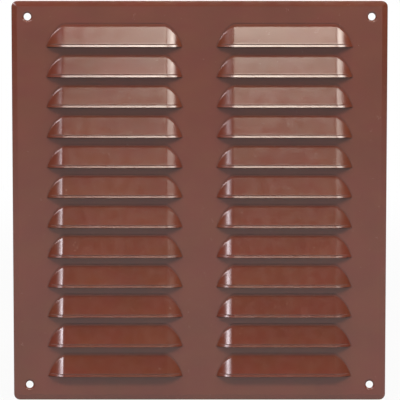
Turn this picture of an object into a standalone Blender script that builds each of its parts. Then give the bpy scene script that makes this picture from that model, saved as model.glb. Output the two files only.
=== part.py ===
# Pressed steel ventilation grille: a face plate with two columns of hooded louvres,
# and an insect screen bonded behind it.
# Metres, +Z up. The front faces -Y. The wall plane is y = 0.
# The origin is the middle of the rim's back edge, at the bottom.

from math import cos, floor, pi, radians, sin, tan

import bmesh
import bpy
from mathutils import Matrix

MM = 0.001

# Sheet and outline
PLATE_WIDTH = 235.0 * MM
PLATE_HEIGHT = 251.5 * MM
SHEET = 0.7 * MM
CORNER_RADIUS = 3.8 * MM
LEAST_CORNER_RADIUS = 0.25 * MM
CORNER_STEPS = 5

# Rim: the sheet slopes back, then turns square to the wall
RIM_BAND = 3.5 * MM
RIM_SLOPE_DEPTH = 2.4 * MM
RIM_SKIRT_DEPTH = 2.0 * MM

# Louvres: they fill the plate between its margins
COLUMNS = 2
SIDE_MARGIN = 21.8 * MM
TOP_MARGIN = 13.9 * MM
LEAST_BOTTOM_MARGIN = 14.0 * MM
COLUMN_GAP = 21.4 * MM
ROW_PITCH = 18.85 * MM
LOUVRE_HEIGHT = 14.75 * MM
FACE_ANGLE = radians(20.0)
BEND_HEIGHT = 2.3 * MM
LIP_HEIGHT = 1.6 * MM
LIP_STEP_HEIGHT = 0.45 * MM
LIP_STEP_OUT = 0.28 * MM
SLIT_CLEARANCE = 0.3 * MM
END_LENGTH = 10.4 * MM
END_START_ANGLE = radians(28.0)
END_STOP_ANGLE = radians(76.0)
END_STEPS = 7
BEND_STEPS = 2
# Towards the tips, where a hood is low, its bend and lip take these shares of its height
TIP_BEND_SHARE = 0.5
TIP_LIP_SHARE = 0.25
TIP_HEIGHT = 0.015 * MM

# Screw holes, each at the bottom of a pressed dimple
HOLE_INSET_X = 10.0 * MM
HOLE_INSET_Z = 9.85 * MM
HOLE_RADIUS = 2.3 * MM
DIMPLE_RADIUS = 3.5 * MM
DIMPLE_DEPTH = 0.9 * MM
HOLE_STEPS = 20

# Insect screen and the adhesive strips that hold it
SCREEN_THICKNESS = 0.4 * MM
SCREEN_CORNER = 2.0 * MM
STRIP_THICKNESS = 0.8 * MM
STRIP_WIDTH = 6.0 * MM
STRIP_CORNER = 0.8 * MM
STRIP_TO_LOUVRE = 1.2 * MM
MIDDLE_STRIP_WIDTH = 10.0 * MM
CLEARANCE = 0.3 * MM

# Finish of the mesh: steps round a small corner, and the angle from which an edge is sharp
SMALL_CORNER_STEPS = 3
SHARP_ANGLE = radians(20.0)

# Places worked out from the sizes above
FRONT_Y = -(RIM_SLOPE_DEPTH + RIM_SKIRT_DEPTH)
BOTTOM_Z = -SHEET / 2
TOP_Z = BOTTOM_Z + PLATE_HEIGHT
MIDDLE_Z = (BOTTOM_Z + TOP_Z) / 2
LOUVRE_LENGTH = (PLATE_WIDTH - 2 * SIDE_MARGIN - (COLUMNS - 1) * COLUMN_GAP) / COLUMNS
FIRST_CREASE_Z = TOP_Z - TOP_MARGIN
LAST_CREASE_LOWEST_Z = BOTTOM_Z + LEAST_BOTTOM_MARGIN + LOUVRE_HEIGHT
ROWS = 1 + floor((FIRST_CREASE_Z - LAST_CREASE_LOWEST_Z) / ROW_PITCH)
LAST_SLIT_Z = FIRST_CREASE_Z - (ROWS - 1) * ROW_PITCH - LOUVRE_HEIGHT - SLIT_CLEARANCE
SCREEN_SIDE_X = PLATE_WIDTH / 2 - SIDE_MARGIN + STRIP_TO_LOUVRE + STRIP_WIDTH
SCREEN_TOP_Z = FIRST_CREASE_Z + STRIP_TO_LOUVRE + STRIP_WIDTH
SCREEN_BOTTOM_Z = LAST_SLIT_Z - STRIP_TO_LOUVRE - STRIP_WIDTH
STRIP_FRONT_Y = FRONT_Y + SHEET + CLEARANCE
SCREEN_FRONT_Y = STRIP_FRONT_Y + STRIP_THICKNESS + CLEARANCE


def rounded_rectangle(width, height, radius, steps):
    """Points of a rectangle about (0, MIDDLE_Z) with round corners, anticlockwise from the right."""
    points = []
    for corner, (side_x, side_z) in enumerate([(1, 1), (-1, 1), (-1, -1), (1, -1)]):
        centre_x = side_x * (width / 2 - radius)
        centre_z = MIDDLE_Z + side_z * (height / 2 - radius)
        for step in range(steps + 1):
            angle = (corner + step / steps) * pi / 2
            points.append((centre_x + radius * cos(angle), centre_z + radius * sin(angle)))
    return points


def rim_loop(bm, inset, y):
    """A closed loop of vertices that follows the plate's outline at an inset from it."""
    points = rounded_rectangle(
        PLATE_WIDTH - 2 * inset,
        PLATE_HEIGHT - 2 * inset,
        max(CORNER_RADIUS - inset, LEAST_CORNER_RADIUS),
        CORNER_STEPS,
    )
    return [bm.verts.new((x, y, z)) for x, z in points]


def circle_loop(bm, centre_x, centre_z, radius, y):
    angles = [2 * pi * step / HOLE_STEPS for step in range(HOLE_STEPS)]
    return [bm.verts.new((centre_x + radius * cos(a), y, centre_z + radius * sin(a))) for a in angles]


def loop_edges(bm, loop):
    pairs = zip(loop, loop[1:] + loop[:1])
    return [bm.edges.get(pair) or bm.edges.new(pair) for pair in pairs]


def join_loops(bm, first, second):
    """A band of four-sided faces between two closed loops of as many vertices."""
    count = len(first)
    for i in range(count):
        j = (i + 1) % count
        bm.faces.new((first[i], first[j], second[j], second[i]))


def end_columns():
    """(distance in from the tip, drop of the outline below the crease) at each column of a louvre's end."""
    columns = []
    for step in range(END_STEPS + 1):
        angle = END_STOP_ANGLE + (END_START_ANGLE - END_STOP_ANGLE) * step / END_STEPS
        reach = (sin(END_STOP_ANGLE) - sin(angle)) / (sin(END_STOP_ANGLE) - sin(END_START_ANGLE))
        fall = (cos(END_START_ANGLE) - cos(angle)) / (cos(END_START_ANGLE) - cos(END_STOP_ANGLE))
        columns.append((END_LENGTH * reach, LOUVRE_HEIGHT * fall))
    return columns


def louvre_height(below_outline):
    """How far the hood stands out of the plate: a round bend, then a straight face."""
    if below_outline < BEND_HEIGHT:
        return tan(FACE_ANGLE) * below_outline**2 / (2 * BEND_HEIGHT)
    return tan(FACE_ANGLE) * (below_outline - BEND_HEIGHT / 2)


def louvre_profile(height):
    """(depth below the outline, distance out of the plate) down one column of a hood."""
    bend = min(BEND_HEIGHT, height * TIP_BEND_SHARE)
    lip = min(LIP_HEIGHT, height * TIP_LIP_SHARE)
    share = lip / LIP_HEIGHT
    depths = [bend * step / BEND_STEPS for step in range(BEND_STEPS + 1)] + [height - lip]
    profile = [(depth, louvre_height(depth)) for depth in depths]
    for depth in (height - lip + LIP_STEP_HEIGHT * share, height):
        profile.append((depth, louvre_height(depth) + LIP_STEP_OUT * share))
    return profile


def add_louvre(bm, left_x, crease_z, plate_y):
    """One hood. It returns the hood's outline with the slit's edge, and the loop round the slit."""
    ends = end_columns()
    columns = [(left_x + reach, drop) for reach, drop in ends]
    columns += [(left_x + LOUVRE_LENGTH - reach, drop) for reach, drop in reversed(ends)]
    grid = []
    for x, drop in columns:
        height = LOUVRE_HEIGHT - drop
        if height < TIP_HEIGHT:
            grid.append([bm.verts.new((x, plate_y, crease_z - LOUVRE_HEIGHT))])
            continue
        top_z = crease_z - drop
        profile = louvre_profile(height)
        grid.append([bm.verts.new((x, plate_y - out, top_z - depth)) for depth, out in profile])
    for left, right in zip(grid, grid[1:]):
        if len(left) == 1 or len(right) == 1:
            tip, column = (left[0], right) if len(left) == 1 else (right[0], left)
            for upper, lower in zip(column, column[1:]):
                bm.faces.new((tip, upper, lower))
            continue
        for row in range(len(left) - 1):
            bm.faces.new((left[row], right[row], right[row + 1], left[row + 1]))
    outline = [column[0] for column in grid]
    lip_edge = [column[-1] for column in grid]
    slit_z = crease_z - LOUVRE_HEIGHT - SLIT_CLEARANCE
    slit_edge = [bm.verts.new((x, plate_y, slit_z)) for x in (columns[-2][0], columns[1][0])]
    return outline + slit_edge, lip_edge + slit_edge


def louvre_places():
    for row in range(ROWS):
        for column in range(COLUMNS):
            left_x = -PLATE_WIDTH / 2 + SIDE_MARGIN + column * (LOUVRE_LENGTH + COLUMN_GAP)
            yield left_x, FIRST_CREASE_Z - row * ROW_PITCH


def hole_places():
    for side_x in (-1, 1):
        for side_z in (-1, 1):
            x = side_x * (PLATE_WIDTH / 2 - HOLE_INSET_X)
            yield x, MIDDLE_Z + side_z * (PLATE_HEIGHT / 2 - HOLE_INSET_Z)


def add_sheet_side(bm, depth, outer):
    """One side of the plate's sheet, at a depth behind its front: hoods, dimples and the flat between."""
    plate_y = FRONT_Y + depth
    edges = loop_edges(bm, outer)
    slits = []
    for left_x, crease_z in louvre_places():
        outline, slit = add_louvre(bm, left_x, crease_z, plate_y)
        edges += loop_edges(bm, outline)
        slits.append(slit)
    holes = []
    for x, z in hole_places():
        dimple = circle_loop(bm, x, z, DIMPLE_RADIUS, plate_y)
        hole = circle_loop(bm, x, z, HOLE_RADIUS, plate_y + DIMPLE_DEPTH)
        edges += loop_edges(bm, dimple)
        join_loops(bm, dimple, hole)
        holes.append(hole)
    bmesh.ops.triangle_fill(bm, use_beauty=True, edges=edges, normal=(0, -1, 0))
    return slits + holes


def make_face_plate(coating):
    bm = bmesh.new()
    outer = [
        rim_loop(bm, RIM_BAND, FRONT_Y),
        rim_loop(bm, 0, FRONT_Y + RIM_SLOPE_DEPTH),
        rim_loop(bm, 0, 0),
    ]
    inner = [
        rim_loop(bm, RIM_BAND, FRONT_Y + SHEET),
        rim_loop(bm, SHEET, FRONT_Y + RIM_SLOPE_DEPTH + SHEET / 2),
        rim_loop(bm, SHEET, 0),
    ]
    profile = outer + inner[::-1]
    for first, second in zip(profile, profile[1:]):
        join_loops(bm, first, second)
    front = add_sheet_side(bm, 0, outer[0])
    back = add_sheet_side(bm, SHEET, inner[0])
    for first, second in zip(front, back):
        join_loops(bm, first, second)
    return add_object("face_plate", bm, coating)


def make_box(name, low, high, material, corner):
    """A flat piece between two corners, with its four upright edges rounded."""
    bm = bmesh.new()
    size = [b - a for a, b in zip(low, high)]
    centre = [(a + b) / 2 for a, b in zip(low, high)]
    matrix = Matrix.Translation(centre) @ Matrix.Diagonal((*size, 1))
    bmesh.ops.create_cube(bm, size=1, matrix=matrix)
    across = [e for e in bm.edges if abs(e.verts[0].co.y - e.verts[1].co.y) > size[1] / 2]
    bmesh.ops.bevel(bm, geom=across, offset=corner, segments=SMALL_CORNER_STEPS, profile=0.5, affect="EDGES")
    return add_object(name, bm, material)


def make_screen(material):
    make_box(
        "insect_screen",
        (-SCREEN_SIDE_X, SCREEN_FRONT_Y, SCREEN_BOTTOM_Z),
        (SCREEN_SIDE_X, SCREEN_FRONT_Y + SCREEN_THICKNESS, SCREEN_TOP_Z),
        material,
        SCREEN_CORNER,
    )


def make_strips(material):
    """Two side strips as tall as the screen, two end strips between them, and one down the middle."""
    side_x = SCREEN_SIDE_X - STRIP_WIDTH
    end_x = side_x - CLEARANCE
    low_z = SCREEN_BOTTOM_Z + STRIP_WIDTH
    high_z = SCREEN_TOP_Z - STRIP_WIDTH
    middle_x = MIDDLE_STRIP_WIDTH / 2
    places = {
        "bond_strip_left": (-SCREEN_SIDE_X, SCREEN_BOTTOM_Z, -side_x, SCREEN_TOP_Z),
        "bond_strip_right": (side_x, SCREEN_BOTTOM_Z, SCREEN_SIDE_X, SCREEN_TOP_Z),
        "bond_strip_top": (-end_x, high_z, end_x, SCREEN_TOP_Z),
        "bond_strip_bottom": (-end_x, SCREEN_BOTTOM_Z, end_x, low_z),
        "bond_strip_middle": (-middle_x, low_z + CLEARANCE, middle_x, high_z - CLEARANCE),
    }
    back_y = STRIP_FRONT_Y + STRIP_THICKNESS
    for name, (x0, z0, x1, z1) in places.items():
        make_box(name, (x0, STRIP_FRONT_Y, z0), (x1, back_y, z1), material, STRIP_CORNER)


def add_material(name, colour, roughness, metallic):
    material = bpy.data.materials.new(name)
    material.use_nodes = True
    shader = material.node_tree.nodes["Principled BSDF"]
    shader.inputs["Base Color"].default_value = (*colour, 1)
    shader.inputs["Roughness"].default_value = roughness
    shader.inputs["Metallic"].default_value = metallic
    return material


def add_object(name, bm, material):
    bmesh.ops.recalc_face_normals(bm, faces=bm.faces)
    mesh = bpy.data.meshes.new(name)
    bm.to_mesh(mesh)
    bm.free()
    mesh.materials.append(material)
    mesh.shade_smooth()
    mesh.set_sharp_from_angle(angle=SHARP_ANGLE)
    obj = bpy.data.objects.new(name, mesh)
    bpy.context.scene.collection.objects.link(obj)
    return obj


def clear_scene():
    for obj in list(bpy.data.objects):
        bpy.data.objects.remove(obj)


clear_scene()
make_face_plate(add_material("brown_powder_coat", (0.14, 0.045, 0.03), 0.3, 0.0))
make_screen(add_material("grey_screen_wire", (0.16, 0.16, 0.165), 0.5, 0.6))
make_strips(add_material("adhesive_tape", (0.78, 0.76, 0.7), 0.7, 0.0))
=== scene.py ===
from math import cos, pi, radians, sin, tan

import bmesh
import bpy
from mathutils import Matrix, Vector


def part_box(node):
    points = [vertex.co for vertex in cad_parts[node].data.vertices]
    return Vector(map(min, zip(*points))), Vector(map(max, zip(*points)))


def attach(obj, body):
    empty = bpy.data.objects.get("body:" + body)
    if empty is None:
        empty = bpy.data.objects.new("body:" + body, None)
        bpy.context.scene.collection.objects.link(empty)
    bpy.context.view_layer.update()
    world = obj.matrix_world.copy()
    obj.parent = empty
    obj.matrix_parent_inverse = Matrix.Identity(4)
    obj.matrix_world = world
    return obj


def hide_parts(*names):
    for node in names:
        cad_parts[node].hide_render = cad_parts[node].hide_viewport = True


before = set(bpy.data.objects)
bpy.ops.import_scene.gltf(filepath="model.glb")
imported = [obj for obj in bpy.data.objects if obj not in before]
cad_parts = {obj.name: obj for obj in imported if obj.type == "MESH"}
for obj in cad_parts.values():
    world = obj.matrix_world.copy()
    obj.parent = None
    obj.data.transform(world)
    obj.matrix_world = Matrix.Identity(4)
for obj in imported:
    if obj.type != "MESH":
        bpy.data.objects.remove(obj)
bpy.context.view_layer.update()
mm = 0.001
touching = 0.01 * mm     # points closer than this become one
plateLow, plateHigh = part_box("face_plate")
screenLow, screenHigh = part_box("insect_screen")
middleZ = (plateLow.z + plateHigh.z) / 2
plateWidth = plateHigh.x - plateLow.x
plateHeight = plateHigh.z - plateLow.z
print("frame loaded, plate is", round(plateWidth / mm, 2), "by", round(plateHeight / mm, 2), "mm")


# Small helpers

def clearSelection():
    if bpy.context.object and bpy.context.object.mode != "OBJECT":
        bpy.ops.object.mode_set(mode="OBJECT")
    bpy.ops.object.select_all(action="DESELECT")


def enterEdit():
    bpy.ops.object.mode_set(mode="EDIT")
    bpy.ops.mesh.select_mode(type="VERT")


def leaveEdit():
    bpy.ops.object.mode_set(mode="OBJECT")


def pickPoints(test):
    # selects the points of the mesh in edit mode that pass the test on their place
    bpy.ops.mesh.select_all(action="DESELECT")
    editMesh = bmesh.from_edit_mesh(bpy.context.object.data)
    for point in editMesh.verts:
        if test(point.co):
            point.select_set(True)
    editMesh.select_flush_mode()
    bmesh.update_edit_mesh(bpy.context.object.data)


def pickEdges(test):
    # selects the edges that pass the test on their two ends
    bpy.ops.mesh.select_all(action="DESELECT")
    editMesh = bmesh.from_edit_mesh(bpy.context.object.data)
    for edge in editMesh.edges:
        if test(edge.verts[0].co, edge.verts[1].co):
            edge.select_set(True)
    editMesh.select_flush_mode()
    bmesh.update_edit_mesh(bpy.context.object.data)


def pickWidestFace():
    # the widest face of the mesh in edit mode
    bpy.ops.mesh.select_mode(type="FACE")
    bpy.ops.mesh.select_all(action="DESELECT")
    editMesh = bmesh.from_edit_mesh(bpy.context.object.data)
    max(editMesh.faces, key=lambda face: face.calc_area()).select_set(True)
    bmesh.update_edit_mesh(bpy.context.object.data)


def keepAs(name):
    # remembers what is selected as a vertex group
    bpy.ops.object.vertex_group_assign_new()
    bpy.context.object.vertex_groups.active.name = name


def pickKept(name):
    groups = bpy.context.object.vertex_groups
    groups.active_index = groups[name].index
    bpy.ops.mesh.select_mode(type="EDGE")
    bpy.ops.mesh.select_all(action="DESELECT")
    bpy.ops.object.vertex_group_select()


def extrudeBy(x=0.0, y=0.0, z=0.0):
    bpy.ops.mesh.extrude_region_move(TRANSFORM_OT_translate={"value": (x, y, z)})


def extrudePoint(x=0.0, y=0.0, z=0.0):
    bpy.ops.mesh.extrude_vertices_move(TRANSFORM_OT_translate={"value": (x, y, z)})


def outset(centre, scale):
    # a flat band grown outwards or inwards from the selected loop
    extrudeBy()
    bpy.ops.transform.resize(value=scale, center_override=centre)


def near(a, b, within=0.02 * mm):
    return abs(a - b) < within


# Hooded louvre, pressed out of the sheet

louvre = {
    "columns": 2, "rows": 12,
    "sideMargin": 21.8 * mm,        # plate edge to louvre tip
    "topMargin": 14.3 * mm,         # plate edge to the first crease
    "columnGap": 21.4 * mm,
    "pitch": 18.85 * mm,
    "height": 14.4 * mm,
    "endLength": 10.4 * mm,         # tip to shoulder
    # the end's arc from shoulder to tip, and a spare beyond the tip that the cut takes off
    "endStart": radians(28), "endStop": radians(76), "endSpare": radians(3), "endSteps": 14,
    "shoulderRound": 0.9 * mm, "shoulderSteps": 3, "shoulderGuard": 2.2 * mm,
    "faceAngle": radians(20),
    "bendHeight": 2.0 * mm, "bendSteps": 5,
    "faceGuard": 0.3 * mm,          # narrow rows that keep the long face flat
    "spareHeight": 1 * mm,          # how far the sweep runs past the lip before the cut
    # height and lean of the lip's bands, from the face down: a slight curl, a fold line, the flange
    "lipBands": ((0.7 * mm, radians(21)), (0.6 * mm, radians(-34)), (1.2 * mm, radians(25.6))),
    "bandGuard": 0.12 * mm,
    "slitDrop": 0.3 * mm, "slitInset": 1.3 * mm,            # the plate's cut edge under the hood
    "grooveWidth": 0.35 * mm, "grooveDepth": 0.55 * mm,     # line pressed round the outline
    "flatBand": 0.5 * mm, "flushWithin": 0.002 * mm,
}
sheet = {
    "thickness": 0.7 * mm,
    "frontY": -4.4 * mm,
    "smoothAngle": radians(31),
}


def buildLouvre():
    # an outline in the plate's plane, swept down its profile, then cut off at the lip
    frontY = sheet["frontY"]
    tipX = plateLow.x + louvre["sideMargin"]
    creaseZ = plateHigh.z - louvre["topMargin"]
    lipZ = creaseZ - louvre["height"]
    gaps = (louvre["columns"] - 1) * louvre["columnGap"]
    length = (plateWidth - 2 * louvre["sideMargin"] - gaps) / louvre["columns"]
    start, stop, spare = louvre["endStart"], louvre["endStop"], louvre["endSpare"]
    radius = louvre["endLength"] / (sin(stop) - sin(start))
    centreZ = creaseZ - radius * cos(start)
    leftCentre = Vector((tipX + radius * sin(stop), frontY, centreZ))
    rightCentre = Vector((tipX + length - radius * sin(stop), frontY, centreZ))
    endSteps, endSweep = louvre["endSteps"], stop + spare - start

    # a plane merged to one point starts the outline, tip to tip
    clearSelection()
    bpy.ops.mesh.primitive_plane_add(size=2 * mm, location=(0, 0, 0))
    bpy.context.object.name = "louvres"
    enterEdit()
    bpy.ops.mesh.merge(type="CENTER")
    firstPoint = leftCentre + radius * Vector((-sin(stop + spare), 0, cos(stop + spare)))
    bpy.ops.transform.translate(value=firstPoint)
    bpy.ops.mesh.spin(steps=endSteps, angle=endSweep, center=leftCentre, axis=(0, -1, 0))
    shoulderGuard = louvre["shoulderGuard"]
    extrudePoint(x=shoulderGuard)
    extrudePoint(x=length - 2 * louvre["endLength"] - 2 * shoulderGuard)
    extrudePoint(x=shoulderGuard)
    bpy.ops.mesh.spin(steps=endSteps, angle=endSweep, center=rightCentre, axis=(0, -1, 0))

    bpy.ops.mesh.select_all(action="SELECT")
    arcFall = radius * (cos(start) - cos(stop))
    bpy.ops.transform.resize(value=(1, 1, louvre["height"] / arcFall), center_override=(0, frontY, creaseZ))

    # the bend leans out step by step, then the face runs straight
    step = louvre["bendHeight"] / louvre["bendSteps"]
    rise = tan(louvre["faceAngle"])
    for i in range(louvre["bendSteps"]):
        extrudeBy(y=-rise * step * (2 * i + 1) / (2 * louvre["bendSteps"]), z=-step)
    faceGuard = louvre["faceGuard"]
    extrudeBy(y=-rise * faceGuard, z=-faceGuard)
    rest = louvre["height"] - louvre["bendHeight"] - faceGuard + louvre["spareHeight"]
    extrudeBy(y=-rise * rest, z=-rest)

    shoulders = (tipX + louvre["endLength"], tipX + length - louvre["endLength"])
    pickEdges(lambda a, b: near(a.x, b.x) and any(near(a.x, x) for x in shoulders))
    bpy.ops.mesh.bevel(
        offset=louvre["shoulderRound"], segments=louvre["shoulderSteps"],
        affect="EDGES", clamp_overlap=False)

    bpy.ops.mesh.select_all(action="SELECT")
    bpy.ops.mesh.bisect(plane_co=(0, 0, lipZ), plane_no=(0, 0, 1), clear_inner=True)
    # the lip's rows as height above its edge and how far each stands out from the plain face
    fullOut = rise * (louvre["height"] - louvre["bendHeight"] / 2)
    bandGuard = louvre["bandGuard"]
    up, out = sum(height for height, lean in louvre["lipBands"]), 0.0
    lipRows = [(up + faceGuard, 0)]
    for height, lean in louvre["lipBands"]:
        slope = tan(lean) - rise
        lipRows.append((up, out))
        lipRows.append((up - bandGuard, out + slope * bandGuard))
        lipRows.append((up - height + bandGuard, out + slope * (height - bandGuard)))
        up, out = up - height, out + slope * height
    for rowUp, rowOut in lipRows:
        bpy.ops.mesh.select_all(action="SELECT")
        bpy.ops.mesh.bisect(plane_co=(0, 0, lipZ + rowUp), plane_no=(0, 0, 1))
    for rowUp, rowOut in lipRows + [(0, out)]:
        rowZ = lipZ + rowUp
        pickPoints(lambda p: near(p.z, rowZ))
        bpy.ops.transform.resize(value=(1, 1 + rowOut / fullOut, 1), center_override=(0, frontY, 0))

    # the cut edge of the plate under the hood, drawn from the left tip to the right one
    pickPoints(lambda p: near(p.z, lipZ) and near(p.y, frontY) and p.x < shoulders[0])
    slitInset, slitDrop = louvre["slitInset"], louvre["slitDrop"]
    extrudePoint(x=slitInset, z=-slitDrop)
    extrudePoint(x=length - 2 * slitInset)
    extrudePoint(x=slitInset, z=slitDrop)
    bpy.ops.mesh.select_all(action="SELECT")
    bpy.ops.mesh.remove_doubles(threshold=touching)

    # a fine groove round the outline, then a flat band whose outer edge is where the plate's flat begins
    pickPoints(lambda p: near(p.y, frontY, louvre["flushWithin"]))
    wide, deep = length, louvre["height"] + slitDrop
    middle = (tipX + length / 2, frontY, creaseZ - deep / 2)
    grooveDepth = louvre["grooveDepth"]
    for sink, band in ((grooveDepth, louvre["grooveWidth"]), (-grooveDepth, louvre["flatBand"])):
        extrudeBy(y=sink)
        outset(middle, ((wide + 2 * band) / wide, 1, (deep + 2 * band) / deep))
        wide, deep = wide + 2 * band, deep + 2 * band
    keepAs("flatEdge")

    # copies down the column, then the whole column across
    bpy.ops.mesh.select_all(action="SELECT")
    for row in range(louvre["rows"] - 1):
        bpy.ops.mesh.duplicate_move(TRANSFORM_OT_translate={"value": (0, 0, -louvre["pitch"])})
    bpy.ops.mesh.select_all(action="SELECT")
    for column in range(louvre["columns"] - 1):
        bpy.ops.mesh.duplicate_move(TRANSFORM_OT_translate={"value": (length + louvre["columnGap"], 0, 0)})
    leaveEdit()
    return bpy.context.object


# Rim, turned back to the wall

rim = {
    "cornerRadius": 3.8 * mm, "cornerSteps": 7,
    "band": 3.5 * mm, "slopeDepth": 0.8 * mm,
    "bendRound": 0.4 * mm, "bendSteps": 6,
    "flatBand": 1.2 * mm, "cornerMerge": 0.15 * mm,
}


def buildRim():
    slopeBack = sheet["frontY"] + rim["slopeDepth"]
    clearSelection()
    bpy.ops.mesh.primitive_plane_add(size=1, location=(0, slopeBack, middleZ), rotation=(pi / 2, 0, 0))
    rimPiece = bpy.context.object
    rimPiece.name = "facePlate"
    rimPiece.scale = (plateWidth, plateHeight, 1)
    bpy.ops.object.transform_apply(location=True, rotation=True, scale=True)
    enterEdit()
    bpy.ops.mesh.select_all(action="SELECT")
    bpy.ops.mesh.bevel(offset=rim["cornerRadius"], segments=rim["cornerSteps"], affect="VERTICES")

    # the slope rises as a straight band to a crisp crease at the flat
    pickWidestFace()
    bpy.ops.mesh.inset(thickness=rim["band"], use_even_offset=True)
    bpy.ops.transform.translate(value=(0, -rim["slopeDepth"], 0))
    bpy.ops.mesh.mark_sharp()
    # a flat band inside the crease, with fewer points round its small corners
    wide, high = plateWidth - 2 * rim["band"], plateHeight - 2 * rim["band"]
    inner = 2 * rim["flatBand"]
    outset((0, sheet["frontY"], middleZ), ((wide - inner) / wide, 1, (high - inner) / high))
    bpy.ops.mesh.remove_doubles(threshold=rim["cornerMerge"])
    keepAs("flatEdge")
    bpy.ops.mesh.delete(type="ONLY_FACE")

    # the skirt runs straight back to the wall, with a round bend where it leaves the slope
    bpy.ops.mesh.select_mode(type="EDGE")
    pickEdges(lambda a, b: near(a.y, slopeBack) and near(b.y, slopeBack))
    extrudeBy(y=-slopeBack)
    pickEdges(lambda a, b: near(a.y, slopeBack) and near(b.y, slopeBack))
    bpy.ops.mesh.bevel(offset=rim["bendRound"], segments=rim["bendSteps"], affect="EDGES")
    leaveEdit()
    return rimPiece


# Dimpled screw holes

dimple = {
    "insetX": 10.0 * mm, "insetZ": 9.85 * mm,
    "radius": 3.5 * mm, "holeRadius": 2.3 * mm, "depth": 0.9 * mm,
    "curve": radians(135),          # part of a cosine wave that the wall follows inwards
    "flatBand": 0.5 * mm, "sides": 36, "steps": 5,
}


def buildDimples():
    frontY = sheet["frontY"]
    x, z = plateLow.x + dimple["insetX"], plateHigh.z - dimple["insetZ"]
    centre = (x, frontY, z)
    clearSelection()
    bpy.ops.mesh.primitive_circle_add(
        vertices=dimple["sides"], radius=dimple["radius"] + dimple["flatBand"],
        fill_type="NOTHING", location=centre, rotation=(pi / 2, 0, 0))
    bpy.context.object.name = "dimples"
    bpy.ops.object.transform_apply(location=True, rotation=True, scale=True)
    enterEdit()
    bpy.ops.mesh.select_all(action="SELECT")
    keepAs("flatEdge")
    radius = dimple["radius"] + dimple["flatBand"]
    steps, curve = dimple["steps"], dimple["curve"]
    depthBefore = 0.0
    for i in range(steps + 1):
        turn = i / steps
        nextRadius = dimple["radius"] + (dimple["holeRadius"] - dimple["radius"]) * turn
        depth = dimple["depth"] * (1 - cos(turn * curve)) / (1 - cos(curve))
        extrudeBy(y=depth - depthBefore)
        if i == 0:
            bpy.ops.object.vertex_group_remove_from()       # only the first loop edges the flat
        shrink = nextRadius / radius
        bpy.ops.transform.resize(value=(shrink, 1, shrink), center_override=centre)
        radius, depthBefore = nextRadius, depth
    bpy.ops.mesh.select_all(action="SELECT")
    spanX, spanZ = plateWidth - 2 * dimple["insetX"], plateHeight - 2 * dimple["insetZ"]
    bpy.ops.mesh.duplicate_move(TRANSFORM_OT_translate={"value": (spanX, 0, 0)})
    bpy.ops.mesh.select_all(action="SELECT")
    bpy.ops.mesh.duplicate_move(TRANSFORM_OT_translate={"value": (0, 0, -spanZ)})
    leaveEdit()
    return bpy.context.object


def buildFacePlate():
    louvres = buildLouvre()
    dimples = buildDimples()
    plate = buildRim()
    clearSelection()
    for piece in (louvres, dimples, plate):
        piece.select_set(True)
    bpy.context.view_layer.objects.active = plate
    bpy.ops.object.join()
    enterEdit()
    pickKept("flatEdge")
    bpy.ops.mesh.fill(use_beauty=True)
    bpy.ops.mesh.select_all(action="SELECT")
    bpy.ops.mesh.normals_make_consistent(inside=False)
    leaveEdit()
    widest = max(plate.data.polygons, key=lambda face: face.area)
    if widest.normal.y > 0:
        enterEdit()
        bpy.ops.mesh.select_all(action="SELECT")
        bpy.ops.mesh.flip_normals()
        leaveEdit()
    bpy.ops.object.modifier_add(type="SOLIDIFY")
    thicken = plate.modifiers[-1]
    thicken.thickness = sheet["thickness"]
    thicken.offset = -1
    bpy.ops.object.modifier_apply(modifier=thicken.name)
    bpy.ops.object.shade_smooth_by_angle(angle=sheet["smoothAngle"])
    plate.vertex_groups.clear()
    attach(plate, "root")
    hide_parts("face_plate")
    return plate


facePlate = buildFacePlate()
print("face plate pressed,", len(facePlate.data.polygons), "faces")


# Insect screen, woven behind the louvres

weave = {
    "pitch": 1.7 * mm, "radius": 0.1 * mm, "sides": 4,
    "wave": 0.1 * mm,               # how far a wire leaves the middle plane at each crossing
}


def repeatAlong(piece, count, step):
    # copies in a row, welded where one ends and the next begins
    bpy.ops.object.modifier_add(type="ARRAY")
    array = piece.modifiers[-1]
    array.count = count
    array.use_relative_offset = False
    array.use_constant_offset = True
    array.constant_offset_displace = step
    array.use_merge_vertices = True
    array.merge_threshold = touching
    bpy.ops.object.modifier_apply(modifier=array.name)


def buildWires(name, along, across, phase):
    # one wave of a wire, repeated along it and across; the wires between are its mirror image in depth
    pitch, wave = weave["pitch"], weave["wave"] * phase
    middle = (screenHigh + screenLow) / 2
    reach = (screenHigh - screenLow) / 2
    waves = int((reach.dot(along) - weave["radius"]) / pitch)
    pairs = int((reach.dot(across) - weave["radius"]) / pitch)
    start = middle - along * waves * pitch - across * (pairs - 1) * pitch
    clearSelection()
    bpy.ops.mesh.primitive_circle_add(
        vertices=weave["sides"], radius=weave["radius"], fill_type="NOTHING",
        location=(start.x, start.y - wave, start.z), rotation=(0, pi / 2 * along.x, 0))
    wires = bpy.context.object
    wires.name = name
    bpy.ops.object.transform_apply(location=True, rotation=True, scale=True)
    enterEdit()
    bpy.ops.mesh.select_all(action="SELECT")
    for swing in (2 * wave, -2 * wave):
        extrudeBy(along.x * pitch, swing, along.z * pitch)
    leaveEdit()
    repeatAlong(wires, waves, along * 2 * pitch)
    repeatAlong(wires, pairs, across * 2 * pitch)
    enterEdit()
    bpy.ops.mesh.select_all(action="SELECT")
    bpy.ops.mesh.duplicate_move(TRANSFORM_OT_translate={"value": across * pitch})
    bpy.ops.transform.resize(value=(1, -1, 1), center_override=(0, middle.y, 0))
    bpy.ops.mesh.select_all(action="SELECT")
    bpy.ops.mesh.normals_make_consistent(inside=False)
    leaveEdit()
    bpy.ops.object.shade_smooth()
    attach(wires, "root")
    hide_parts("insect_screen")
    return wires


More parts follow.
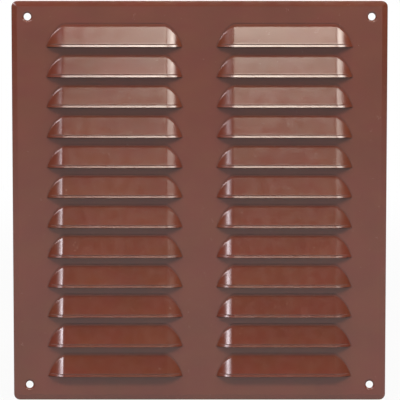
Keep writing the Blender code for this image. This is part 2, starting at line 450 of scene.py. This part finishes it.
acrossX, upZ = Vector((1, 0, 0)), Vector((0, 0, 1))
screenWires = [buildWires("screenWeft", acrossX, upZ, 1), buildWires("screenWarp", upZ, acrossX, -1)]
print("screen woven,", sum(len(wires.data.polygons) for wires in screenWires), "faces")


# Effects that several finishes share, each a node group

def newGroup(name, inputs, outputs):
    group = bpy.data.node_groups.new(name, "ShaderNodeTree")
    for label, kind, value in inputs:
        socket = group.interface.new_socket(name=label, in_out="INPUT", socket_type="NodeSocket" + kind)
        if value is not None:
            socket.default_value = value
    for label, kind in outputs:
        group.interface.new_socket(name=label, in_out="OUTPUT", socket_type="NodeSocket" + kind)
    return group, group.nodes.new("NodeGroupInput").outputs, group.nodes.new("NodeGroupOutput").inputs


def feed(tree, value, socket):
    # a plain number or colour is set on the socket, anything else is linked to it
    if isinstance(value, (int, float, tuple)):
        socket.default_value = value
    else:
        tree.links.new(value, socket)


def calc(tree, operation, *values):
    node = tree.nodes.new("ShaderNodeMath")
    node.operation = operation
    for value, socket in zip(values, node.inputs):
        feed(tree, value, socket)
    return node.outputs[0]


def ramp(tree, value, low, high, toLow=0.0, toHigh=1.0):
    node = tree.nodes.new("ShaderNodeMapRange")
    node.interpolation_type = "SMOOTHSTEP"
    for label, given in (("Value", value), ("From Min", low), ("From Max", high),
                         ("To Min", toLow), ("To Max", toHigh)):
        feed(tree, given, node.inputs[label])
    return node.outputs["Result"]


def noise(tree, place, scale, detail=2.0):
    node = tree.nodes.new("ShaderNodeTexNoise")
    feed(tree, place, node.inputs["Vector"])
    feed(tree, scale, node.inputs["Scale"])
    node.inputs["Detail"].default_value = detail
    return node.outputs[0]


def stretched(tree, place, factors, turn=0.0):
    node = tree.nodes.new("ShaderNodeMapping")
    node.inputs["Scale"].default_value = factors
    node.inputs["Rotation"].default_value = (0, turn, 0)
    feed(tree, place, node.inputs["Vector"])
    return node.outputs["Vector"]


def mixColours(tree, share, first, second):
    # inputs 6 and 7 and output 2 are the mix node's colour sockets
    node = tree.nodes.new("ShaderNodeMix")
    node.data_type = "RGBA"
    feed(tree, share, node.inputs["Factor"])
    feed(tree, first, node.inputs[6])
    feed(tree, second, node.inputs[7])
    return node.outputs[2]


pattern = {
    "usualNoise": (0.3, 0.7), "noiseMiddle": 0.5,       # most of a noise lies between the two
    "toothPerRipple": 5.0,
    "grainCore": 0.5,                                   # share of a grain's radius before it fades
    "lineSets": (((1, 1, 9), 0.15), ((9, 1, 1), 0.3)),  # stretch of the noise and its turn
    "patchPerLine": 2.3, "patchEdge": 0.08,
    "hueStretch": (1, 1, 1.7), "huePerShade": 1.6, "hueShare": 0.06, "neutralHue": 0.5,
}


def buildOrangePeel():
    # soft ripple and fine tooth, as a height
    group, given, out = newGroup(
        "orangePeel",
        [("Place", "Vector", None), ("Ripple", "Float", 1.6 * mm), ("Tooth", "Float", 0.2)],
        [("Height", "Float")])
    perMetre = calc(group, "DIVIDE", 1.0, given["Ripple"])
    ripple = noise(group, given["Place"], perMetre, detail=1.0)
    tooth = noise(group, given["Place"], calc(group, "MULTIPLY", perMetre, pattern["toothPerRipple"]))
    feed(group, calc(group, "MULTIPLY_ADD", tooth, given["Tooth"], ripple), out["Height"])
    return group


def buildDustSpecks():
    # a share of the pattern's cells holds one small grain
    group, given, out = newGroup(
        "dustSpecks",
        [("Place", "Vector", None), ("Spacing", "Float", 4 * mm), ("Grain", "Float", 0.3 * mm),
         ("Share", "Float", 0.3)],
        [("Mask", "Float")])
    cells = group.nodes.new("ShaderNodeTexVoronoi")
    feed(group, given["Place"], cells.inputs["Vector"])
    feed(group, calc(group, "DIVIDE", 1.0, given["Spacing"]), cells.inputs["Scale"])
    lot = group.nodes.new("ShaderNodeSeparateColor")
    feed(group, cells.outputs["Color"], lot.inputs["Color"])
    chosen = calc(group, "LESS_THAN", lot.outputs[0], given["Share"])
    reach = calc(group, "MULTIPLY", calc(group, "DIVIDE", given["Grain"], given["Spacing"]), lot.outputs[1])
    core = calc(group, "MULTIPLY", reach, pattern["grainCore"])
    grain = ramp(group, cells.outputs["Distance"], core, reach, 1.0, 0.0)
    feed(group, calc(group, "MULTIPLY", chosen, grain), out["Mask"])
    return group


def buildHandlingMarks():
    # hairlines: thin level lines of a stretched noise, kept only in patches
    group, given, out = newGroup(
        "handlingMarks",
        [("Place", "Vector", None), ("Length", "Float", 12 * mm), ("Fineness", "Float", 0.012),
         ("Bareness", "Float", 0.6)],
        [("Mask", "Float")])
    perMetre = calc(group, "DIVIDE", 1.0, given["Length"])
    lines = 0.0
    for factors, turn in pattern["lineSets"]:
        level = noise(group, stretched(group, given["Place"], factors, turn), perMetre, detail=1.0)
        off = calc(group, "ABSOLUTE", calc(group, "SUBTRACT", level, pattern["noiseMiddle"]))
        lines = calc(group, "MAXIMUM", ramp(group, off, 0.0, given["Fineness"], 1.0, 0.0), lines)
    patches = noise(group, given["Place"], calc(group, "MULTIPLY", perMetre, pattern["patchPerLine"]))
    full = calc(group, "ADD", given["Bareness"], pattern["patchEdge"])
    kept = ramp(group, patches, given["Bareness"], full)
    feed(group, calc(group, "MULTIPLY", lines, kept), out["Mask"])
    return group


def buildColourDrift():
    # slow change of shade and hue
    group, given, out = newGroup(
        "colourDrift",
        [("Place", "Vector", None), ("Colour", "Color", None), ("Patch", "Float", 30 * mm),
         ("Amount", "Float", 0.06)],
        [("Colour", "Color")])
    perMetre = calc(group, "DIVIDE", 1.0, given["Patch"])
    shade = noise(group, given["Place"], perMetre, detail=3.0)
    huePlace = stretched(group, given["Place"], pattern["hueStretch"])
    hue = noise(group, huePlace, calc(group, "MULTIPLY", perMetre, pattern["huePerShade"]))
    darkest = calc(group, "SUBTRACT", 1.0, given["Amount"])
    lightest = calc(group, "ADD", 1.0, given["Amount"])
    shift = calc(group, "MULTIPLY", given["Amount"], pattern["hueShare"])
    leastHue = calc(group, "SUBTRACT", pattern["neutralHue"], shift)
    mostHue = calc(group, "ADD", pattern["neutralHue"], shift)
    low, high = pattern["usualNoise"]
    change = group.nodes.new("ShaderNodeHueSaturation")
    feed(group, ramp(group, shade, low, high, darkest, lightest), change.inputs["Value"])
    feed(group, ramp(group, hue, low, high, leastHue, mostHue), change.inputs["Hue"])
    feed(group, given["Colour"], change.inputs["Color"])
    feed(group, change.outputs["Color"], out["Colour"])
    return group


effects = {
    "peel": buildOrangePeel(), "dust": buildDustSpecks(),
    "marks": buildHandlingMarks(), "drift": buildColourDrift(),
}


# Finishes

def newMaterial(name):
    material = bpy.data.materials.new(name)
    material.use_nodes = True
    return material, material.node_tree, material.node_tree.nodes["Principled BSDF"]


def objectPlace(tree):
    return tree.nodes.new("ShaderNodeTexCoord").outputs["Object"]


def effect(tree, name, **values):
    # places a shared effect in a material with this material's own values
    node = tree.nodes.new("ShaderNodeGroup")
    node.node_tree = effects[name]
    for label, value in values.items():
        feed(tree, value, node.inputs[label])
    return node.outputs[0]


def addBump(tree, shader, height, distance):
    bump = tree.nodes.new("ShaderNodeBump")
    bump.inputs["Distance"].default_value = distance
    feed(tree, height, bump.inputs["Height"])
    feed(tree, bump.outputs["Normal"], shader.inputs["Normal"])


coating = {
    "colour": (0.127, 0.0315, 0.018, 1), "drift": {"Patch": 34 * mm, "Amount": 0.06},
    "dust": {"Spacing": 9 * mm, "Grain": 0.45 * mm, "Share": 0.22},
    "dustColour": (0.34, 0.27, 0.22, 1), "dustShare": 0.6,
    "marks": {"Length": 11 * mm, "Fineness": 0.01, "Bareness": 0.64},
    "scratchColour": (0.31, 0.19, 0.15, 1), "scratchShare": 0.3,
    "roughness": 0.2, "roughnessDrift": 0.02, "glossPatch": 6 * mm,
    "spoiledRoughness": 0.4,        # added where dust or a scratch lies
    "specularLevel": 0.67,
    "peel": {"Ripple": 1.7 * mm, "Tooth": 0.16}, "peelDepth": 0.004 * mm,
}


def coatingMaterial():
    material, tree, shader = newMaterial("brownPowderCoat")
    place = objectPlace(tree)
    dust = effect(tree, "dust", Place=place, **coating["dust"])
    marks = effect(tree, "marks", Place=place, **coating["marks"])
    scratches = calc(tree, "MULTIPLY", marks, coating["scratchShare"])
    dusted = calc(tree, "MULTIPLY", dust, coating["dustShare"])
    colour = effect(tree, "drift", Place=place, Colour=coating["colour"], **coating["drift"])
    colour = mixColours(tree, scratches, colour, coating["scratchColour"])
    colour = mixColours(tree, dusted, colour, coating["dustColour"])
    feed(tree, colour, shader.inputs["Base Color"])
    low, high = pattern["usualNoise"]
    smoothest = coating["roughness"] - coating["roughnessDrift"]
    roughest = coating["roughness"] + coating["roughnessDrift"]
    rough = ramp(tree, noise(tree, place, 1 / coating["glossPatch"]), low, high, smoothest, roughest)
    spoiled = calc(tree, "MULTIPLY", calc(tree, "MAXIMUM", dust, scratches), coating["spoiledRoughness"])
    feed(tree, calc(tree, "ADD", rough, spoiled), shader.inputs["Roughness"])
    shader.inputs["Specular IOR Level"].default_value = coating["specularLevel"]
    addBump(tree, shader, effect(tree, "peel", Place=place, **coating["peel"]), coating["peelDepth"])
    return material


tape = {
    "colour": (0.74, 0.715, 0.65, 1), "drift": {"Patch": 12 * mm, "Amount": 0.07},
    "pores": {"Spacing": 0.55 * mm, "Grain": 0.26 * mm, "Share": 0.5}, "poreShare": 0.45,
    "soil": {"Length": 7 * mm, "Fineness": 0.05, "Bareness": 0.5}, "soilShare": 0.35,
    "soiledColour": (0.42, 0.38, 0.32, 1),
    "roughness": 0.72, "poreRoughness": 0.12,
    "peel": {"Ripple": 0.9 * mm, "Tooth": 0.6}, "peelDepth": 0.05 * mm,
}


def tapeMaterial():
    # closed foam with tiny open cells, a little soiled by handling
    material, tree, shader = newMaterial("foamTape")
    place = objectPlace(tree)
    pores = effect(tree, "dust", Place=place, **tape["pores"])
    soil = effect(tree, "marks", Place=place, **tape["soil"])
    colour = effect(tree, "drift", Place=place, Colour=tape["colour"], **tape["drift"])
    soiled = calc(tree, "MULTIPLY", soil, tape["soilShare"])
    dirt = calc(tree, "MAXIMUM", soiled, calc(tree, "MULTIPLY", pores, tape["poreShare"]))
    colour = mixColours(tree, dirt, colour, tape["soiledColour"])
    feed(tree, colour, shader.inputs["Base Color"])
    rough = calc(tree, "MULTIPLY_ADD", pores, tape["poreRoughness"], tape["roughness"])
    feed(tree, rough, shader.inputs["Roughness"])
    peel = effect(tree, "peel", Place=place, **tape["peel"])
    addBump(tree, shader, calc(tree, "SUBTRACT", peel, pores), tape["peelDepth"])
    return material


wire = {
    "colour": (0.052, 0.053, 0.056, 1), "drift": {"Patch": 18 * mm, "Amount": 0.16},
    "lint": {"Spacing": 5 * mm, "Grain": 1.2 * mm, "Share": 0.25}, "lintShare": 0.5,
    "wear": {"Length": 16 * mm, "Fineness": 0.06, "Bareness": 0.55}, "wearShare": 0.25,
    "dustColour": (0.3, 0.28, 0.25, 1),
    "roughness": 0.42, "dustRoughness": 0.4,
    "peel": {"Ripple": 0.35 * mm, "Tooth": 0.5}, "peelDepth": 0.012 * mm,
}


def wireMaterial():
    # coated glass yarn, with lint caught in it
    material, tree, shader = newMaterial("greyScreenYarn")
    place = objectPlace(tree)
    lint = effect(tree, "dust", Place=place, **wire["lint"])
    worn = effect(tree, "marks", Place=place, **wire["wear"])
    colour = effect(tree, "drift", Place=place, Colour=wire["colour"], **wire["drift"])
    linted = calc(tree, "MULTIPLY", lint, wire["lintShare"])
    dirt = calc(tree, "MAXIMUM", linted, calc(tree, "MULTIPLY", worn, wire["wearShare"]))
    colour = mixColours(tree, dirt, colour, wire["dustColour"])
    feed(tree, colour, shader.inputs["Base Color"])
    rough = calc(tree, "MULTIPLY_ADD", dirt, wire["dustRoughness"], wire["roughness"])
    feed(tree, rough, shader.inputs["Roughness"])
    addBump(tree, shader, effect(tree, "peel", Place=place, **wire["peel"]), wire["peelDepth"])
    return material


def dress(piece, material):
    piece.data.materials.clear()
    piece.data.materials.append(material)


dress(facePlate, coatingMaterial())
foamTape, screenYarn = tapeMaterial(), wireMaterial()
for name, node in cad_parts.items():
    if name.startswith("bond_strip"):
        dress(node, foamTape)
for wires in screenWires:
    dress(wires, screenYarn)
print("finishes made")


# Floor, lamps and camera

studioFloor = {
    "size": 12, "colour": (0.46, 0.46, 0.46, 1), "roughness": 0.9,
    "nearWhite": 0.94, "nearReach": 0.3, "farReach": 2.0,   # share of white near the object, full beyond
    "mirroredWhite": 0.95,
}
skyStrength = 0.05       # the world's light; the camera itself sees white


def buildFloor():
    clearSelection()
    bpy.ops.mesh.primitive_plane_add(size=studioFloor["size"], location=(0, 0, plateLow.z))
    floor = bpy.context.object
    floor.name = "floor"
    material, tree, shader = newMaterial("paleFloor")
    shader.inputs["Base Color"].default_value = studioFloor["colour"]
    shader.inputs["Roughness"].default_value = studioFloor["roughness"]
    # white to the camera and in reflections; near the object a little of its shadow stays
    glow = tree.nodes.new("ShaderNodeEmission")
    mix = tree.nodes.new("ShaderNodeMixShader")
    path = tree.nodes.new("ShaderNodeLightPath").outputs
    away = tree.nodes.new("ShaderNodeVectorMath")
    away.operation = "LENGTH"
    feed(tree, objectPlace(tree), away.inputs[0])
    white = ramp(tree, away.outputs["Value"], studioFloor["nearReach"], studioFloor["farReach"],
                 studioFloor["nearWhite"], 1.0)
    seen = calc(tree, "MULTIPLY", path["Is Camera Ray"], white)
    mirrored = calc(tree, "MULTIPLY", path["Is Glossy Ray"], studioFloor["mirroredWhite"])
    feed(tree, calc(tree, "MAXIMUM", seen, mirrored), mix.inputs[0])
    feed(tree, shader.outputs[0], mix.inputs[1])
    feed(tree, glow.outputs[0], mix.inputs[2])
    feed(tree, mix.outputs[0], tree.nodes["Material Output"].inputs["Surface"])
    floor.data.materials.append(material)


softboxes = [
    {"name": "keyBox", "azimuth": 8.9, "elevation": 49.9, "distance": 2.2, "width": 0.72, "height": 0.44,
     "glow": 16.1, "colour": (1, 0.95, 0.82)},
    {"name": "topBox", "azimuth": 0, "elevation": 85, "distance": 2.2, "width": 1.0, "height": 0.5,
     "glow": 11, "colour": (1, 0.96, 0.9), "mirrored": False},
    {"name": "frontFill", "azimuth": 0, "elevation": 9, "distance": 3.4, "width": 3.2, "height": 1.0,
     "glow": 0.6, "colour": (1, 1, 1)},
    {"name": "leftStrip", "azimuth": -35.6, "elevation": 27, "distance": 3.4, "width": 0.31, "height": 0.73,
     "glow": 26, "colour": (0.97, 0.93, 1)},
    {"name": "leftHigh", "azimuth": -43, "elevation": 51, "distance": 2.2, "width": 1.2, "height": 0.18,
     "glow": 16.5, "colour": (1, 0.95, 0.92)},
    {"name": "middleHigh", "azimuth": -11, "elevation": 51.8, "distance": 2.2, "width": 0.52,
     "height": 0.26, "glow": 18.5, "colour": (1, 0.95, 0.88)},
    {"name": "rightInner", "azimuth": 32, "elevation": 43, "distance": 2.2, "width": 0.28, "height": 0.48,
     "glow": 10, "colour": (1, 0.95, 0.86)},
    {"name": "rightOuter", "azimuth": 45.6, "elevation": 43, "distance": 2.2, "width": 0.48, "height": 0.48,
     "glow": 21, "colour": (1, 0.95, 0.86)},
    {"name": "rightHigh", "azimuth": 63, "elevation": 49.5, "distance": 2.2, "width": 0.66, "height": 0.24,
     "glow": 9, "colour": (1, 0.95, 0.9)},
]
lampTarget = Vector((0, sheet["frontY"], middleZ))


def addSoftbox(box):
    azimuth, elevation = radians(box["azimuth"]), radians(box["elevation"])
    out = Vector((sin(azimuth) * cos(elevation), -cos(azimuth) * cos(elevation), sin(elevation)))
    data = bpy.data.lights.new(box["name"], "AREA")
    data.shape = "RECTANGLE"
    data.size, data.size_y = box["width"], box["height"]
    data.energy = box["glow"] * pi * box["width"] * box["height"]       # glow is the brightness of its face
    data.color = box["colour"]
    lamp = bpy.data.objects.new(box["name"], data)
    lamp.location = lampTarget + out * box["distance"]
    lamp.rotation_mode = "QUATERNION"
    lamp.rotation_quaternion = (-out).to_track_quat("-Z", "Y")
    lamp.visible_camera = False
    lamp.visible_glossy = box.get("mirrored", True)
    bpy.context.scene.collection.objects.link(lamp)


def buildWorld():
    world = bpy.data.worlds.new("studio")
    world.use_nodes = True
    tree = world.node_tree
    background = tree.nodes["Background"]
    path = tree.nodes.new("ShaderNodeLightPath").outputs
    level = tree.nodes.new("ShaderNodeMapRange")
    level.inputs["To Min"].default_value = skyStrength
    level.inputs["To Max"].default_value = 1.0
    feed(tree, path["Is Camera Ray"], level.inputs["Value"])
    feed(tree, level.outputs["Result"], background.inputs["Strength"])
    background.inputs["Color"].default_value = (1, 1, 1, 1)
    bpy.context.scene.world = world


view = {
    "elevation": radians(4.216), "distance": 1.2, "lens": 171.9, "sensor": 36,
    "aimX": 0.27 * mm, "aimUp": 1.18 * mm,
    "clipStart": 0.05, "clipEnd": 60,
}


def buildCamera():
    aim = Vector((view["aimX"], sheet["frontY"], middleZ + view["aimUp"]))
    out = Vector((0, -cos(view["elevation"]), sin(view["elevation"])))
    data = bpy.data.cameras.new("camera")
    data.lens, data.sensor_width = view["lens"], view["sensor"]
    data.clip_start, data.clip_end = view["clipStart"], view["clipEnd"]
    camera = bpy.data.objects.new("camera", data)
    camera.location = aim + out * view["distance"]
    camera.rotation_mode = "QUATERNION"
    camera.rotation_quaternion = (-out).to_track_quat("-Z", "Y")
    bpy.context.scene.collection.objects.link(camera)
    bpy.context.scene.camera = camera


buildFloor()
for box in softboxes:
    addSoftbox(box)
buildWorld()
buildCamera()
bpy.context.scene.view_settings.view_transform = "Standard"
print("stage ready")
